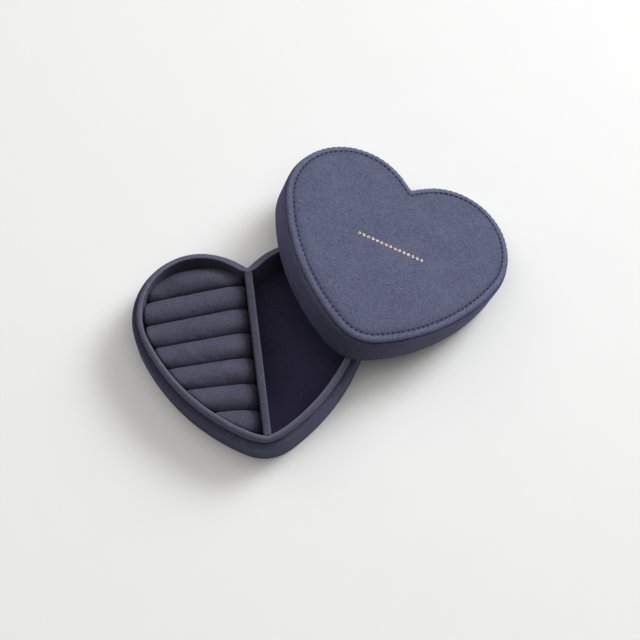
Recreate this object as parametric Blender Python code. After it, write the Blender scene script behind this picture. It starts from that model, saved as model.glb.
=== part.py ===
"""Heart-shaped jewellery box with a lift-off lid.

The base is a covered heart-shaped wall with a raised inner collar.  A divider
runs from the notch to the tip, with ring rolls on its left and an open
compartment on its right.  The lid lies across the right lobe, its rim on the
collar and on the table, as it does when the box is left open.

Frame: metres, +Z up, origin at the middle of the base's underside, the heart's
tip towards -Y.  The lid is drawn in its own frame, with its rim at height 0 and
its top towards +Z, and an empty then sets that frame down in the resting place.
"""
import math

import bmesh
import bpy
from mathutils import Matrix, Vector

MM = 0.001

# ---------------------------------------------------------------- heart outline
TIP_RADIUS = 22.4 * MM
SIDE_RADIUS = 108.3 * MM
LOBE_RADIUS = 35.7 * MM
FLANK_RADIUS = 61.5 * MM          # from the lobe down into the notch
HALF_WIDTH = 62.5 * MM
HALF_LENGTH = 54.5 * MM           # from the middle to the tip, and to the lobes
SIDE_START = math.radians(29.0)   # headings, counted from +X, where the arcs meet
LOBE_START = math.radians(70.6)
FLANK_START = math.radians(210.7)
NOTCH_RADIUS = 0.6 * MM
ARC_STEPS = (5, 6, 14, 3, 3)      # segments in half a tip, side, lobe, flank, notch

# ---------------------------------------------------------------- sheet stock
GAP = 0.3 * MM                    # left between neighbouring pieces
SKIN = 0.6 * MM                   # covering and lining cloth

# ---------------------------------------------------------------- base
LEDGE_HEIGHT = 21.6 * MM
COLLAR_TOP = 29.8 * MM
COLLAR_OUTER = 3.2 * MM           # offsets in from the base's outline
COLLAR_INNER = 5.9 * MM
LIP_ROUND = 1.2 * MM
HEM = 2.7 * MM                    # cloth turned under the base
BOTTOM_BOARD = 2.0 * MM
FLOOR_BOARD = 1.0 * MM
DIVIDER_HALF = 2.0 * MM
DIVIDER_BOARD_HALF = 1.1 * MM
DIVIDER_BACK = 37.3 * MM          # the divider's ends, at the notch and the tip
DIVIDER_FRONT = -48.1 * MM

# ---------------------------------------------------------------- ring rolls
ROLL_COUNT = 7
ROLL_PITCH = 12.85 * MM
FIRST_SLIT_Y = 32.6 * MM          # on the line through the rolls' middles
ROLL_MIDDLE_X = -28.0 * MM
SLIT_TURN = 5.5                   # degrees; the slits fan out by SLIT_FAN k^2
SLIT_FAN = 0.35
ROLL_BACK_Y = 47.4 * MM
ROLL_FRONT_Y = -46.4 * MM
ROLL_TOP = 27.2 * MM
ROLL_EDGE = 22.8 * MM             # height where a roll meets its slit
ROLL_STEPS = 8
ROLL_END_ROUND = 3.0 * MM

# ---------------------------------------------------------------- lid
LID_WALL_TOP = 18.8 * MM
LID_BOARD = 1.0 * MM
LID_WALL = 2 * SKIN + 2 * GAP + LID_BOARD
LID_TOP_BOARD = 1.7 * MM
LID_HEM = 4.0 * MM                # cloth turned over the lid's top board
PANEL_INSET = 1.5 * MM
PANEL_HEM = 6.0 * MM
PANEL_THICKNESS = 3.2 * MM
PANEL_BOARD = 0.8 * MM
PANEL_FOAM = 0.6 * MM
PANEL_ROUND = 1.2 * MM
SEAM_INSET = 4.4 * MM
SEAM_DEPTH = 0.9 * MM
SEAM_HALF_WIDTH = 0.55 * MM
THREAD_HALF_WIDTH = 0.25 * MM
THREAD_THICKNESS = 0.4 * MM
FOIL_Y = 3.1 * MM
FOIL_COUNT = 15
FOIL_PITCH = 2.5 * MM
FOIL_LOZENGE_HALF = 0.8 * MM
FOIL_LINK_HALF = 0.15 * MM
FOIL_THICKNESS = 0.15 * MM

# where the lid lies: tilted by LID_TILT towards LID_HEADING, turned by LID_TURN
LID_TILT = math.radians(16.36)
LID_HEADING = math.radians(23.3)
LID_TURN = math.radians(-27.6)
LID_PLACE = Vector((66.7 * MM, 33.6 * MM, 19.23 * MM))

# ---------------------------------------------------------------- materials
SUEDE = ("suede", (0.090, 0.105, 0.180), 0.92, 0.0)
VELVET = ("velvet", (0.075, 0.070, 0.120), 0.95, 0.0)
UNDERSIDE = ("underside", (0.030, 0.032, 0.055), 0.90, 0.0)
BOARD = ("board", (0.420, 0.400, 0.370), 0.85, 0.0)
FOAM = ("foam", (0.700, 0.690, 0.660), 0.90, 0.0)
THREAD = ("thread", (0.030, 0.030, 0.070), 0.70, 0.0)
FOIL = ("foil", (0.830, 0.640, 0.360), 0.30, 1.0)


def clear_scene():
    for item in list(bpy.data.objects):
        bpy.data.objects.remove(item, do_unlink=True)


def paint(item, look):
    """Give an object the material of its kind, made once."""
    name, colour, roughness, metallic = look
    material = bpy.data.materials.get(name)
    if material is None:
        material = bpy.data.materials.new(name)
        material.use_nodes = True
        shader = material.node_tree.nodes["Principled BSDF"]
        shader.inputs["Base Color"].default_value = (*colour, 1.0)
        shader.inputs["Roughness"].default_value = roughness
        shader.inputs["Metallic"].default_value = metallic
    item.data.materials.append(material)


def add_object(name, bm, look, parent=None):
    """Turn a bmesh into an object with its faces pointing outwards."""
    bmesh.ops.recalc_face_normals(bm, faces=bm.faces)
    mesh = bpy.data.meshes.new(name)
    bm.to_mesh(mesh)
    bm.free()
    item = bpy.data.objects.new(name, mesh)
    bpy.context.scene.collection.objects.link(item)
    item.parent = parent
    paint(item, look)
    return item


# ---------------------------------------------------------------- outline

def on_arc(centre, radius, heading):
    """Point where an arc that turns left runs along the heading."""
    return Vector((centre.x + radius * math.sin(heading),
                   centre.y - radius * math.cos(heading)))


def arc_centres():
    """Centres of the arcs of the right half, from the tip round to the notch."""
    lobe = Vector((HALF_WIDTH - LOBE_RADIUS, HALF_LENGTH - LOBE_RADIUS))
    side = on_arc(lobe, LOBE_RADIUS - SIDE_RADIUS, LOBE_START)
    tip = Vector((0.0, TIP_RADIUS - HALF_LENGTH))
    flank = on_arc(lobe, LOBE_RADIUS - FLANK_RADIUS, FLANK_START)
    reach = FLANK_RADIUS + NOTCH_RADIUS
    notch = Vector((0.0, flank.y + math.sqrt(reach ** 2 - flank.x ** 2)))
    return tip, side, lobe, flank, notch


def heart(offset):
    """Closed outline, offset inwards, counter-clockwise from the tip."""
    centres = arc_centres()
    flank = centres[3]
    flank_end = math.pi + math.asin(flank.x / (FLANK_RADIUS + NOTCH_RADIUS))
    headings = (0.0, SIDE_START, LOBE_START, FLANK_START, flank_end, math.pi)
    # the notch curls the other way, which a negative radius says
    radii = (TIP_RADIUS, SIDE_RADIUS, LOBE_RADIUS, FLANK_RADIUS, -NOTCH_RADIUS)
    half = []
    for k, steps in enumerate(ARC_STEPS):
        turn = headings[k + 1] - headings[k]
        for step in range(steps):
            heading = headings[k] + turn * step / steps
            half.append(on_arc(centres[k], radii[k] - offset, heading))
    notch = on_arc(centres[-1], radii[-1] - offset, math.pi)
    half[0].x = 0.0
    left = [Vector((-point.x, point.y)) for point in reversed(half[1:])]
    return half + [Vector((0.0, notch.y))] + left


def clip_right(points, x_min):
    """The part of a closed outline to the right of x_min."""
    kept = []
    for here, after in zip(points, points[1:] + points[:1]):
        if here.x >= x_min:
            kept.append(here)
        if (here.x - x_min) * (after.x - x_min) < 0.0:
            share = (x_min - here.x) / (after.x - here.x)
            kept.append(here.lerp(after, share))
    return kept


def flip(points):
    """The outline mirrored to the other side of the heart's axis."""
    return [Vector((-point.x, point.y)) for point in reversed(points)]


# ---------------------------------------------------------------- solids

def add_ring(bm, offset, height):
    return [bm.verts.new((p.x, p.y, height)) for p in heart(offset)]


def bridge(bm, lower, upper):
    count = len(lower)
    for i in range(count):
        j = (i + 1) % count
        bm.faces.new((lower[i], lower[j], upper[j], upper[i]))


def hoop(name, profile, look, parent=None):
    """Closed band round the heart, with a profile of (offset, height)."""
    bm = bmesh.new()
    rings = [add_ring(bm, offset, height) for offset, height in profile]
    for lower, upper in zip(rings, rings[1:] + rings[:1]):
        bridge(bm, lower, upper)
    return add_object(name, bm, look, parent)


def shell(name, profile, look, parent=None):
    """As a hoop, but the profile's two ends are closed across the heart."""
    bm = bmesh.new()
    rings = [add_ring(bm, offset, height) for offset, height in profile]
    for lower, upper in zip(rings, rings[1:]):
        bridge(bm, lower, upper)
    bm.faces.new(rings[0])
    bm.faces.new(rings[-1])
    return add_object(name, bm, look, parent)


def prism(name, points, low, high, look, parent=None):
    """Flat plate with the given outline."""
    bm = bmesh.new()
    bottom = [bm.verts.new((p.x, p.y, low)) for p in points]
    top = [bm.verts.new((p.x, p.y, high)) for p in points]
    bridge(bm, bottom, top)
    bm.faces.new(bottom)
    bm.faces.new(top)
    return add_object(name, bm, look, parent)


def plate(name, offset, low, high, look, parent=None):
    return prism(name, heart(offset), low, high, look, parent)


def box_points(x_low, x_high, y_low, y_high):
    return [Vector((x_low, y_low)), Vector((x_high, y_low)),
            Vector((x_high, y_high)), Vector((x_low, y_high))]


def arc_profile(offset, height, radius, start, end, steps):
    """Profile points on a quarter or half circle, angles in degrees."""
    points = []
    for step in range(steps + 1):
        angle = math.radians(start + (end - start) * step / steps)
        points.append((offset - radius * math.cos(angle),
                       height + radius * math.sin(angle)))
    return points


# ---------------------------------------------------------------- base parts

def build_base_shell():
    plate("base_underside_cover", HEM + GAP, 0.0, SKIN, UNDERSIDE)
    board_low = SKIN + GAP
    board_high = board_low + BOTTOM_BOARD
    plate("base_bottom_board", SKIN + GAP, board_low, board_high, BOARD)
    edge = arc_profile(SKIN, LEDGE_HEIGHT - SKIN, SKIN, 0.0, 90.0, 3)
    inside = SKIN
    hoop("base_wall_wrap",
         [(HEM, SKIN), (HEM, 0.0), (0.0, 0.0)] + edge
         + [(COLLAR_OUTER - GAP, LEDGE_HEIGHT),
            (COLLAR_OUTER - GAP, LEDGE_HEIGHT - SKIN),
            (inside, LEDGE_HEIGHT - SKIN), (inside, SKIN)], SUEDE)
    outer = SKIN + GAP
    inner = COLLAR_OUTER + SKIN - GAP / 2
    low = board_high + GAP
    high = LEDGE_HEIGHT - SKIN - GAP
    hoop("base_wall_board",
         [(inner, low), (outer, low), (outer, high), (inner, high)], BOARD)
    return low


def build_collar(low):
    outer = COLLAR_OUTER
    inner = COLLAR_INNER
    foot = LEDGE_HEIGHT - SKIN
    top = COLLAR_TOP - LIP_ROUND
    lip = arc_profile(outer + LIP_ROUND, top, LIP_ROUND, 0.0, 90.0, 3)
    lip += arc_profile(inner - LIP_ROUND, top, LIP_ROUND, 90.0, 180.0, 3)
    under = COLLAR_TOP - SKIN
    hoop("collar_lining",
         [(outer + SKIN, foot), (outer, foot)] + lip
         + [(inner, low), (inner - SKIN, low), (inner - SKIN, under - SKIN),
            (outer + SKIN, under - SKIN)], VELVET)
    board_outer = outer + SKIN + GAP
    board_inner = inner - SKIN - GAP
    board_top = under - SKIN - GAP
    hoop("collar_board",
         [(board_inner, low), (board_outer, low),
          (board_outer, board_top), (board_inner, board_top)], BOARD)


def build_divider(low):
    top = COLLAR_TOP - 0.4 * MM
    leg = DIVIDER_HALF - SKIN
    under = top - 2 * SKIN
    section = [(-DIVIDER_HALF, low), (-DIVIDER_HALF, top - SKIN),
               (-leg, top), (leg, top), (DIVIDER_HALF, top - SKIN),
               (DIVIDER_HALF, low), (leg, low), (leg, under),
               (-leg, under), (-leg, low)]
    bm = bmesh.new()
    front = [bm.verts.new((x, DIVIDER_FRONT, z)) for x, z in section]
    back = [bm.verts.new((x, DIVIDER_BACK, z)) for x, z in section]
    bridge(bm, front, back)
    bm.faces.new(front)
    bm.faces.new(back)
    add_object("divider_velvet", bm, VELVET)
    prism("divider_board",
          box_points(-DIVIDER_BOARD_HALF, DIVIDER_BOARD_HALF,
                     DIVIDER_FRONT, DIVIDER_BACK),
          low, under - GAP, BOARD)


def build_compartment_floors(low):
    half = clip_right(heart(COLLAR_INNER + GAP), DIVIDER_HALF + GAP)
    high = low + FLOOR_BOARD
    prism("compartment_floor_board", half, low, high, BOARD)
    prism("compartment_floor_velvet", half, high + GAP, high + GAP + SKIN, VELVET)
    prism("ring_tray_board", flip(half), low, high, BOARD)
    return high + GAP


# ---------------------------------------------------------------- ring rolls

def slit_line(k):
    """Middle height and slope of the line between roll k and roll k + 1."""
    if k < 0:
        return ROLL_BACK_Y, 0.0
    if k == ROLL_COUNT - 1:
        return ROLL_FRONT_Y, 0.0
    slope = math.tan(math.radians(SLIT_TURN - SLIT_FAN * k * k))
    return FIRST_SLIT_Y - ROLL_PITCH * k, slope


def line_ends(y_middle, slope, wall):
    """Where a line across the left half meets the wall and the divider."""
    crossings = []
    for here, after in zip(wall, wall[1:] + wall[:1]):
        side_here = here.y - y_middle - slope * (here.x - ROLL_MIDDLE_X)
        side_after = after.y - y_middle - slope * (after.x - ROLL_MIDDLE_X)
        if side_here * side_after < 0.0:
            share = side_here / (side_here - side_after)
            crossings.append(here.x + (after.x - here.x) * share)
    crossings.sort()
    return crossings[0], crossings[1]


def roll_rows(k, inset, low):
    """Sections along roll k, each from its left foot over the top to its right."""
    back_y, back_slope = slit_line(k - 1)
    front_y, front_slope = slit_line(k)
    wall = heart(COLLAR_INNER + GAP + inset)
    stop = -(DIVIDER_HALF + GAP + inset)
    back_y -= GAP / 2 + inset
    front_y += GAP / 2 + inset
    rows = []
    for step in range(ROLL_STEPS + 1):
        turn = math.pi * step / ROLL_STEPS
        share = (1.0 - math.cos(turn)) / 2
        y_middle = back_y + (front_y - back_y) * share
        slope = back_slope + (front_slope - back_slope) * share
        left, right = line_ends(y_middle, slope, wall)
        right = min(right, stop)
        top = ROLL_EDGE + (ROLL_TOP - ROLL_EDGE) * math.sin(turn) ** 0.8 - inset
        turn_in = min(ROLL_END_ROUND, (right - left) / 4)
        shoulder = top - ROLL_END_ROUND / 2
        stations = ((left, low), (left, shoulder), (left + turn_in, top),
                    (right - turn_in, top), (right, shoulder), (right, low))
        rows.append([(x, y_middle + slope * (x - ROLL_MIDDLE_X), z)
                     for x, z in stations])
    return rows


def add_rows(bm, rows):
    verts = [[bm.verts.new(point) for point in row] for row in rows]
    for here, after in zip(verts, verts[1:]):
        for i in range(len(here) - 1):
            bm.faces.new((here[i], here[i + 1], after[i + 1], after[i]))
    bm.faces.new(verts[0])
    bm.faces.new(verts[-1])
    return verts


def build_ring_rolls(low):
    for k in range(ROLL_COUNT):
        bm = bmesh.new()
        outer = add_rows(bm, roll_rows(k, 0.0, low))
        inner = add_rows(bm, roll_rows(k, SKIN, low))
        rims = []
        for verts in (outer, inner):
            rims.append([row[0] for row in verts] + [row[-1] for row in reversed(verts)])
        bridge(bm, rims[0], rims[1])
        add_object(f"ring_roll_velvet_{k + 1}", bm, VELVET)
        bm = bmesh.new()
        rows = add_rows(bm, roll_rows(k, SKIN + GAP, low))
        for here, after in zip(rows, rows[1:]):
            bm.faces.new((here[0], after[0], after[-1], here[-1]))
        add_object(f"ring_roll_foam_{k + 1}", bm, FOAM)


# ---------------------------------------------------------------- lid parts

def build_lid_shell(lid):
    flange = LID_WALL - SKIN - GAP
    edge = arc_profile(SKIN, LID_WALL_TOP - SKIN, SKIN, 0.0, 90.0, 3)
    hoop("lid_wall_wrap",
         [(flange, SKIN), (flange, 0.0), (0.0, 0.0)] + edge
         + [(LID_HEM, LID_WALL_TOP), (LID_HEM, LID_WALL_TOP - SKIN),
            (SKIN, LID_WALL_TOP - SKIN), (SKIN, SKIN)], SUEDE, lid)
    top_high = LID_WALL_TOP - SKIN - GAP
    top_low = top_high - LID_TOP_BOARD
    board = SKIN + GAP
    plate("lid_top_board", board, top_low, top_high, BOARD, lid)
    hoop("lid_wall_board",
         [(board + LID_BOARD, board), (board, board), (board, top_low - GAP),
          (board + LID_BOARD, top_low - GAP)], BOARD, lid)
    lining = LID_WALL - SKIN
    ceiling_high = top_low - GAP
    ceiling_low = ceiling_high - SKIN
    plate("lid_top_lining", lining, ceiling_low, ceiling_high, VELVET, lid)
    hoop("lid_wall_lining",
         [(LID_WALL, GAP), (lining, GAP), (lining, ceiling_low - GAP),
          (LID_WALL, ceiling_low - GAP)], VELVET, lid)


def build_lid_panel(lid):
    low = LID_WALL_TOP + GAP
    high = low + PANEL_THICKNESS
    side = PANEL_INSET
    board_low = low + SKIN + GAP
    board_high = board_low + PANEL_BOARD
    plate("lid_panel_board", side + SKIN + GAP, board_low, board_high, BOARD, lid)
    foam_low = board_high + GAP
    plate("lid_panel_foam", PANEL_HEM, foam_low, foam_low + PANEL_FOAM, FOAM, lid)
    seam_out = SEAM_INSET - SEAM_HALF_WIDTH
    seam_in = SEAM_INSET + SEAM_HALF_WIDTH
    foot = arc_profile(side + SKIN, low + SKIN, SKIN, -90.0, 0.0, 2)
    brow = arc_profile(side + PANEL_ROUND, high - PANEL_ROUND, PANEL_ROUND, 0.0, 90.0, 3)
    under = high - SKIN
    dip = high - SEAM_DEPTH
    outside = [(PANEL_HEM, low)] + foot + brow
    outside += [(seam_out, high), (seam_out, dip), (seam_in, dip), (seam_in, high)]
    inside = [(side + SKIN, low + SKIN), (side + SKIN, dip - GAP),
              (PANEL_HEM, dip - GAP), (PANEL_HEM, under)]
    # from the top's middle out over the edge, under to the hem, and back inside
    hem = [(PANEL_HEM, low + SKIN)]
    shell("lid_panel_cover", outside[::-1] + hem + inside, SUEDE, lid)
    return high


def build_seam_thread(lid, panel_top):
    """The seam's thread, one loop lying in the groove near the panel's edge."""
    low = panel_top - SEAM_DEPTH + GAP
    high = low + THREAD_THICKNESS
    outer = SEAM_INSET - THREAD_HALF_WIDTH
    inner = SEAM_INSET + THREAD_HALF_WIDTH
    hoop("lid_seam_thread",
         [(inner, low), (outer, low), (outer, high), (inner, high)], THREAD, lid)


def build_foil(lid, panel_top):
    """A plain gold rule of linked lozenges across the middle of the lid."""
    upper = []
    for i in range(FOIL_COUNT):
        x = FOIL_PITCH * (i - (FOIL_COUNT - 1) / 2)
        upper += [Vector((x - FOIL_PITCH / 2, FOIL_LINK_HALF)),
                  Vector((x, FOIL_LOZENGE_HALF))]
    upper.append(Vector((FOIL_PITCH * FOIL_COUNT / 2, FOIL_LINK_HALF)))
    outline = [Vector((p.x, -p.y)) for p in upper] + upper[::-1]
    outline = [Vector((p.x, p.y + FOIL_Y)) for p in outline]
    low = panel_top + GAP
    prism("lid_foil_ornament", outline, low, low + FOIL_THICKNESS, FOIL, lid)


def place_lid():
    """Empty that carries the lid's frame to where the lid lies."""
    lean_axis = Vector((-math.sin(LID_HEADING), math.cos(LID_HEADING), 0.0))
    lean = Matrix.Rotation(LID_TILT, 4, lean_axis)
    turn = Matrix.Rotation(LID_TURN, 4, "Z")
    lid = bpy.data.objects.new("lid_frame", None)
    bpy.context.scene.collection.objects.link(lid)
    lid.matrix_world = Matrix.Translation(LID_PLACE) @ lean @ turn
    return lid


def build():
    clear_scene()
    inside_low = build_base_shell()
    build_collar(inside_low)
    build_divider(inside_low)
    rolls_low = build_compartment_floors(inside_low)
    build_ring_rolls(rolls_low)
    lid = place_lid()
    build_lid_shell(lid)
    panel_top = build_lid_panel(lid)
    build_seam_thread(lid, panel_top)
    build_foil(lid, panel_top)


build()
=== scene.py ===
"""Looks of the heart-shaped jewellery box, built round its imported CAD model.

Everything is in metres in the CAD frame: +Z up, the heart's tip towards -Y.  The
lid's pieces are drawn in the lid's own frame, with its rim at height 0, and are
then set down where the lid lies.  Profiles are in millimetres.
"""

import math

import bmesh
import bpy
import numpy as np
from mathutils import Matrix, Vector, geometry, noise
from mathutils.bvhtree import BVHTree


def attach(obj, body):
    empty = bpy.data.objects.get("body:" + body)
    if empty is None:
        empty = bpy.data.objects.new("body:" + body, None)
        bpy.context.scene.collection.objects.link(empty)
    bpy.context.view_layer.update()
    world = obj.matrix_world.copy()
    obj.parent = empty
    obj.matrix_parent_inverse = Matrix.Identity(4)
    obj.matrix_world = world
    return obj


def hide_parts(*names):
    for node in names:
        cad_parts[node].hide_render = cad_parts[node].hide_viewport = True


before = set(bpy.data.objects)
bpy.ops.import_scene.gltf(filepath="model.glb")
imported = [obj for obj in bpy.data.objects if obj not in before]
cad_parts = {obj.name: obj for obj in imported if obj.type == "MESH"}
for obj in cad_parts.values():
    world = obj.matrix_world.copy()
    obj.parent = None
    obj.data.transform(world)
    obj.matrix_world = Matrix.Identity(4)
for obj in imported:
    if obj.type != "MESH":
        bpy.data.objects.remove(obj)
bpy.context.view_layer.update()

MM = 0.001

# ------ heart outline
# The right half is five arcs that meet smoothly: tip, side, lobe, flank and notch.
TIP_RADIUS = 22.4 * MM
SIDE_RADIUS = 108.3 * MM
LOBE_RADIUS = 35.7 * MM
FLANK_RADIUS = 61.5 * MM
HALF_WIDTH = 62.5 * MM
HALF_LENGTH = 54.5 * MM
SIDE_START = math.radians(29.0)  # headings at which the next arc takes over
LOBE_START = math.radians(70.6)
FLANK_START = math.radians(210.7)
NOTCH_RADIUS = 0.6 * MM
HALF_STEPS = 190  # steps along the right half of a hoop

# ------ base
SKIN = 0.6 * MM  # thickness of the cloth
LEDGE_HEIGHT = 21.6 * MM
COLLAR_TOP = 29.8 * MM
COLLAR_INNER = 5.9 * MM  # in from the outline
LIP_ROUND = 0.75 * MM  # radius of the lip's inner edge
PINCH = 1.2 * MM  # how far the collar's pleat stands out at the tip
PINCH_REACH = 3.5 * MM
FLOOR_LOW = 4.5 * MM
DIVIDER_HALF = 2.0 * MM
DIVIDER_STEPS = 90
DIVIDER_GAP = 0.05 * MM  # to the collar, at both ends
DIVIDER_TOP = 28.0 * MM  # above this its cloth rises to the collar
DIVIDER_RISE = 0.25 * MM
RISE_RATE = 25.0  # the rise is over a 25th of the way along

# ------ ring rolls
ROLL_COUNT = 7
ROLL_PITCH = 12.85 * MM
FIRST_SLIT_Y = 32.6 * MM
ROLL_MIDDLE_X = -28.0 * MM
SLIT_TURN = 5.5  # degrees by which the first slit is turned
SLIT_FAN = 0.35
ROLL_BACK_Y = 47.9 * MM
ROLL_FRONT_Y = -46.4 * MM
ROLL_LOW = FLOOR_LOW + 0.1 * MM
ROLL_TOP = 27.0 * MM
ROLL_EDGE = 20.6 * MM  # height at the slits
ROLL_CROWN = 0.9  # below 1 the crown is fuller than a sine
ROLL_INSET = 0.5 * MM  # room for the roll to swell into
ROLL_END_ROUND = 1.3 * MM  # at the divider
ROLL_TUCK = 0.6 * MM  # at the collar
ROLL_SAG = 3.4 * MM  # how far a roll's right end sinks
ROLL_SAG_REACH = 9.0 * MM
ROLL_SAG_BEND = 1.4
ROLL_SAG_LOW = 15.0 * MM  # nothing sinks below this height
BACK_DROP = 7.0 * MM  # how far the first roll slopes down at the back wall
BACK_REACH = 10.0 * MM
BACK_BEND = 1.6
BACK_FACING = 0.55  # sine of the wall's heading where the slope begins
BACK_FACING_SPAN = 0.3
ROLL_STEPS = 24  # across a roll
ROLL_PARTS = 16  # along a roll
ROLL_END_STEPS = 5
ROLL_VOXEL = 1.1 * MM
ROLL_PINNED = 13.0 * MM  # cloth below this height stays put
ROLL_PRESSURE = 4.0
ROLL_WIDEN_LIMIT = 0.4 * MM
ROLL_RISE_LIMIT = 0.9 * MM

# ------ lid
PANEL_TOP = 22.3 * MM
PANEL_HEM = 10  # last ring of the panel's edge that stays put
PANEL_PINNED = 20.4 * MM  # cloth below this height stays put
PANEL_PRESSURE = 2.5
PANEL_MOVE_LIMIT = 0.45 * MM
SEAM_INSET = 4.4 * MM
SEAM_NOTCH = 1.2 * MM  # the seam's corner radius at the notch
STITCH_PITCH = 2.8 * MM
STITCH_LENGTH = 1.75 * MM
STITCH_RADIUS = 0.60 * MM
PLACES_PER_STITCH = 4  # points of the panel's net
SAMPLES_PER_STITCH = 24  # points of the seam's path
STITCH_RINGS = 11
STITCH_SIDES = 10
GROOVE_DEPTH = 0.60 * MM
THREAD_LOW = PANEL_TOP - GROOVE_DEPTH
THREAD_ARCH = 0.38 * MM  # how far a stitch rises between its holes
THREAD_ARCH_BEND = 0.6
THREAD_SINK = 0.16 * MM
THREAD_END = 0.55  # share of its thickness at its ends
THREAD_SWELL = 0.45
THREAD_SWELL_BEND = 0.4
THREAD_PLY = 0.13  # how far its two plies stand out
THREAD_TWIST = 9.0  # radians along a stitch
FOIL_Y = 3.1 * MM
FOIL_COUNT = 15
FOIL_PITCH = 2.5 * MM
FOIL_CORNERS = 8
FOIL_WAIST = 0.80  # how far a lozenge's sides are drawn in
FOIL_LOW = -0.04 * MM  # heights over the panel
FOIL_EDGE = 0.01 * MM
FOIL_TOP = 0.06 * MM
ABOVE_LID = 30.0 * MM
LID_TILT = math.radians(16.36)
LID_HEADING = math.radians(23.3)
LID_TURN = math.radians(-27.6)
LID_PLACE = Vector((66.7 * MM, 33.6 * MM, 19.23 * MM))

# The panel from its underside round its edge and over the seam: offset, height and painted light
# (painted highlight on the bead above 0, painted shade under it and at the seam below 0).
PANEL_EDGE = [(6.0, 21.1, 0.0), (2.1, 21.1, 0.0), (2.1, 19.7, 0.0), (6.0, 19.7, 0.0),
              (6.0, 19.1, 0.0), (4.2, 19.1, 0.0), (2.2, 19.1, -0.4), (1.45, 19.25, -0.4),
              (1.05, 19.6, -0.35), (0.95, 20.1, -0.25), (0.95, 20.6, -0.1), (1.05, 21.1, 0.0),
              (1.3, 21.6, 0.1), (1.7, 22.0, 0.2), (2.2, 22.24, 0.24), (2.8, 22.33, 0.18),
              (3.3, 22.28, 0.05), (3.75, 22.12, -0.1), (4.1, 21.86, -0.3), (4.4, 21.70, -0.4),
              (4.7, 21.84, -0.3), (5.1, 21.97, -0.15), (5.7, 22.10, -0.1), (6.6, 22.21, -0.06),
              (7.7, 22.29, -0.03), (9.2, 22.3, 0.0)]
# How deep each ring beside the hem is drawn down at a stitch, in millimetres.
SCALLOPS = ((-2, 0.08), (-1, 0.28), (0, 0.42), (1, 0.28), (2, 0.10))
SCALLOP_RISE = 0.4  # share of that by which the cloth rises in between

# ------ painted light and shade
# Painted highlight above 0 and painted shade below 0: how much lighter or darker the pile looks, and
# where it begins and ends.
LEFT_PAINTED_SHADE = -0.28
LEFT_PAINTED_SHADE_SPAN = (0.0, 48.0 * MM)
COLLAR_CREST_PAINTED_HIGHLIGHT = 0.12
COLLAR_CREST_SPAN = (28.0 * MM, 29.3 * MM)
COLLAR_FOOT_PAINTED_SHADE = 0.40
COLLAR_FOOT_SPAN = (21.0 * MM, 27.0 * MM)
COLLAR_FOOT_OFFSET = 3.5 * MM
COLLAR_WELL_PAINTED_SHADE = 0.50
COLLAR_WELL_SPAN = (26.0 * MM, 29.0 * MM)
COLLAR_WELL_OFFSET = 5.2 * MM
COLLAR_WELL_SIDE = (0.0, 2.0 * MM)
PAINTED_HIGHLIGHT_GAIN = 0.45
COLLAR_HIGHLIGHT_WIDTH = 0.60 * MM
COLLAR_HIGHLIGHT_IN = 0.35 * MM  # the painted highlight line, from the lip's inner top corner
COLLAR_HIGHLIGHT_DOWN = 0.15 * MM
DIVIDER_HIGHLIGHT_WIDTH = 0.45 * MM
DIVIDER_HIGHLIGHT_X = 1.65 * MM
DIVIDER_HIGHLIGHT_HEIGHT = 29.2 * MM
DIVIDER_SHADE = 0.20
DIVIDER_LOW_PAINTED_SHADE = 0.40
DIVIDER_LOW_SPAN = (24.0 * MM, 28.5 * MM)
ROLL_END_PAINTED_SHADE = -0.50
ROLL_END_SPAN = (-12.0 * MM, -3.0 * MM)
FIRST_ROLL_PAINTED_SHADE = 0.16
LID_TIP_PAINTED_SHADE = -0.32
LID_TIP_SPAN = (8.0 * MM, 34.0 * MM)
PANEL_TIP_PAINTED_SHADE = -0.10

# ------ cloth and nets
SIM_SCALE = 20.0  # cloth is simulated this much larger than life
SIM_FRAMES = 20
PROFILE_REACH = 2.0 * MM  # longest step along a profile
CORNER_STEPS = 5
NET_ROW = 0.866  # height of an even triangle with sides of 1
NET_CLEAR = 0.7  # steps that a net keeps from its edge
MERGE_DISTANCE = 1e-7
TINY = 1e-12
RIPPLE_FINE = 2.7  # the second noise is this much finer
RIPPLE_FINE_SHARE = 0.5

# ------ materials
NOISE_LOW = 0.3  # noise lies mostly between these two
NOISE_HIGH = 0.7
PATCH_SCALE = 70.0  # noise scales, per metre
MOTTLE_SCALE = 900.0
FIBRE_SCALE = 2300.0
MOTTLE_GAIN = 0.7
FIBRE_GAIN = 1.5
WAVE_BAND = 0.314  # width of a band at a wave scale of 1
THREAD_WIDTH = 0.45 * MM

# ------ stage
FLOOR_REACH = 6.0
FLOOR_HEIGHT = -0.2 * MM
WALL_HEIGHT = 4.0
WALL_GLOW = 0.62
COOL = (0.985, 1.0, 1.02)
WARM = (1.0, 0.985, 0.962)
ORIGIN = (0.0, 0.0, 0.0)
CAMERA_LENS = 84.72
CAMERA_SENSOR = 36.0
CAMERA_PLACE = (-0.010714, -0.230946, 0.760607)
CAMERA_TARGET = (0.035381, 0.017171, 0.0)
CAMERA_ROLL = math.radians(3.445)


# ------ outline

def on_arc(centre, radius, heading):
    """Point where an arc that turns left runs along the heading."""
    return Vector((centre.x + radius * math.sin(heading),
                   centre.y - radius * math.cos(heading)))


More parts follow.
